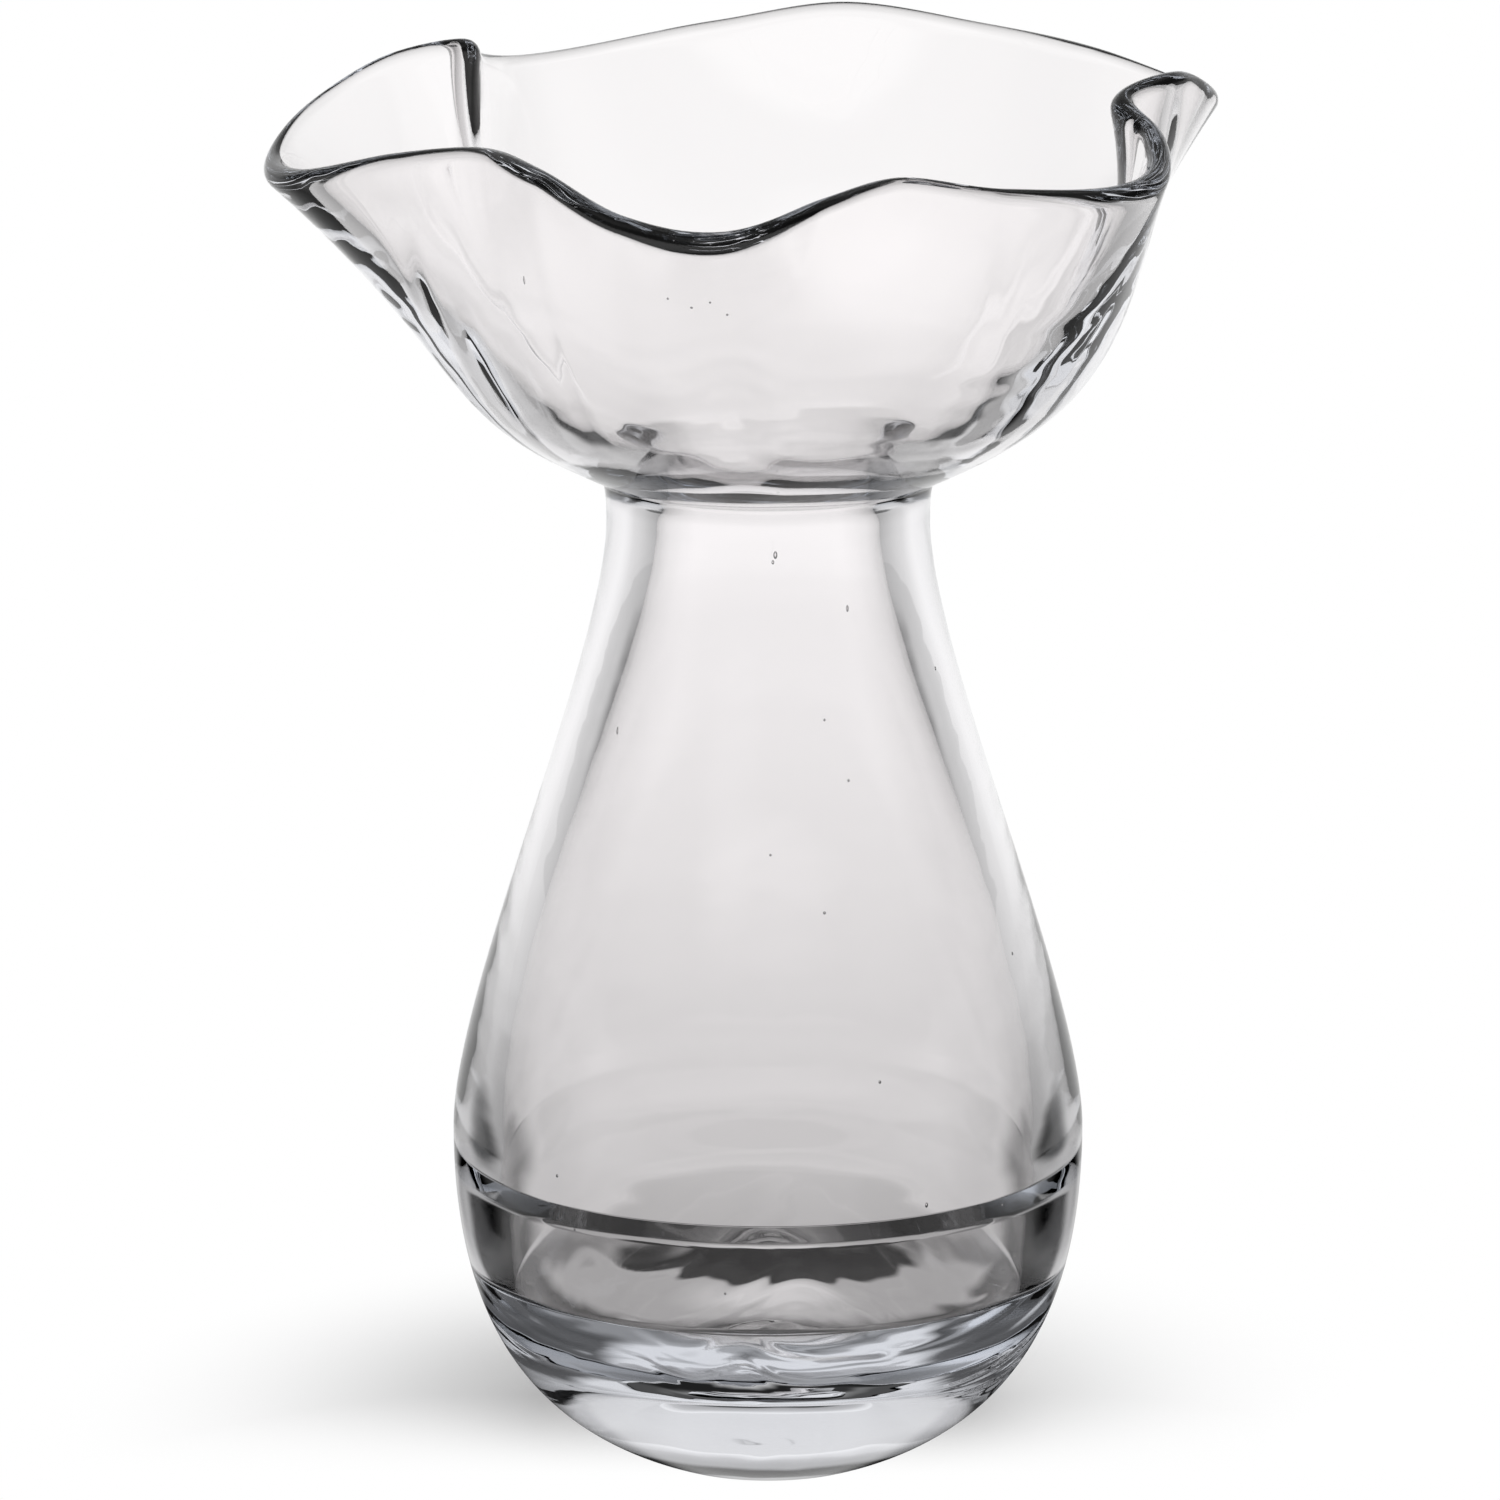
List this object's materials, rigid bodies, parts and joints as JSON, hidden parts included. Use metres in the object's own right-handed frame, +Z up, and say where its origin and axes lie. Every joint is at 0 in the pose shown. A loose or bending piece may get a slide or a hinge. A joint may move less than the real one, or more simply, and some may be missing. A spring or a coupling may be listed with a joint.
{
  "type": "hyacinth forcing vase",
  "caption": "Clear blown-glass forcing vase: pear-shaped water chamber on a thick round base, drawn-in neck, and a flared cup with a ruffled lip that holds a bulb above the water.",
  "frame": {"origin": "middle of the flat polished foot, on the surface the vase stands on", "axes": "+Z up along the axis the vase is turned on, -Y towards the front of the picture, +X to the right of it"},
  "size_m": [0.1047, 0.0985, 0.157],
  "materials": {
    "clear_glass": "clear mouth-blown glass, fire-polished, with a flat polished foot"
  },
  "bodies": {
    "root": {"heavy_base": "clear_glass", "water_chamber": "clear_glass", "bulb_cup": "clear_glass"}
  },
  "joints": []
}
